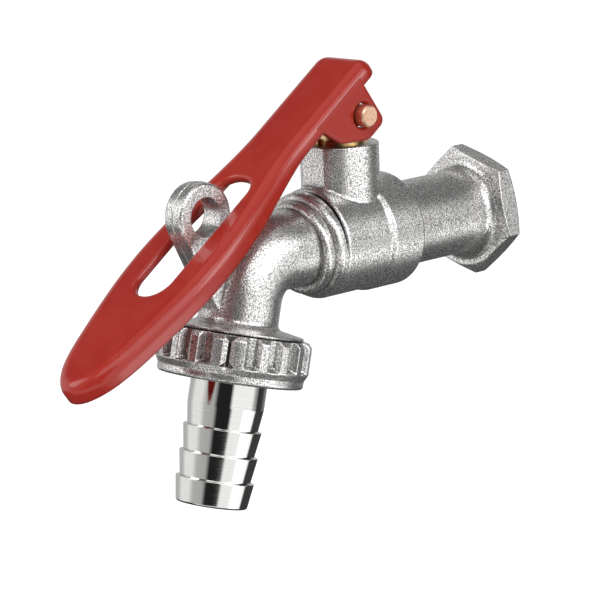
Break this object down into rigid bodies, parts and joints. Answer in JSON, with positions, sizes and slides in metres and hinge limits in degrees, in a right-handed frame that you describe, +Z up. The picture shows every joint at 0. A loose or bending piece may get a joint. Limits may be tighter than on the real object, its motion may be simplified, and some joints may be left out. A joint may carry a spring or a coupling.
{
  "type": "lockable hose tap",
  "caption": "Garden hose tap: ball valve body with a female inlet, a red lever with a slot that drops over a padlock eye, a union nut and a barbed hose tail.",
  "frame": {"origin": "centre of the inlet mouth, on the face of the hexagon", "axes": "+X out of the inlet towards the supply pipe, +Z up along the stem, the outlet points to -X and down"},
  "size_m": [0.129, 0.0348, 0.0972],
  "materials": {
    "nickel_blasted": "brass forging, blasted and nickel plated, matt with a fine sparkle",
    "nickel_polished": "turned brass, bright nickel plate",
    "stem_brass": "turned brass",
    "gland_brass": "turned brass, bright",
    "pin_copper": "copper-coloured drawn pin",
    "lever_red": "pressed steel with a thick glossy red coat",
    "seal_white": "white plastic seal",
    "seal_fibre": "red fibre sealing ring",
    "seal_rubber": "black rubber"
  },
  "bodies": {
    "valve_body": {"body": "nickel_blasted", "inlet_adapter": "nickel_blasted", "adapter_seal_ring": "seal_fibre", "seat_front": "seal_white", "seat_rear": "seal_white", "thrust_washer": "seal_white", "gland_packing": "seal_white", "packing_follower": "gland_brass", "gland_nut": "gland_brass"},
    "spindle": {"stem": "stem_brass", "ball": "nickel_polished", "lever_pin": "pin_copper", "stem_oring_lower": "seal_rubber", "stem_oring_upper": "seal_rubber"},
    "lever_arm": {"lever": "lever_red"},
    "hose_union": {"hose_tail": "nickel_polished", "tail_gasket": "seal_rubber"},
    "union_ring": {"union_nut": "nickel_blasted"}
  },
  "joints": [
    {"name": "stem_turn", "type": "hinge", "parent": "valve_body", "child": "spindle", "pos_m": [-0.0454, 0, 0], "axis": [0, 0, 1], "range_deg": [-2.5, 2.5]},
    {"name": "lever_lift", "type": "hinge", "parent": "spindle", "child": "lever_arm", "pos_m": [-0.0454, 0, 0.0289], "axis": [0, 1, 0], "range_deg": [0, 45]},
    {"name": "tail_slide", "type": "slide", "parent": "valve_body", "child": "hose_union", "axis": [-0.2571, 0, -0.9664], "range_m": [0, 0.0062]},
    {"name": "nut_turn", "type": "hinge", "parent": "hose_union", "child": "union_ring", "pos_m": [-0.0754, 0, 0], "axis": [-0.2571, 0, -0.9664], "range_deg": [0, 1230.5]}
  ],
  "couplings": [
    {"joint": "nut_turn", "follows": "tail_slide", "rad_per_m": 3463.7}
  ]
}
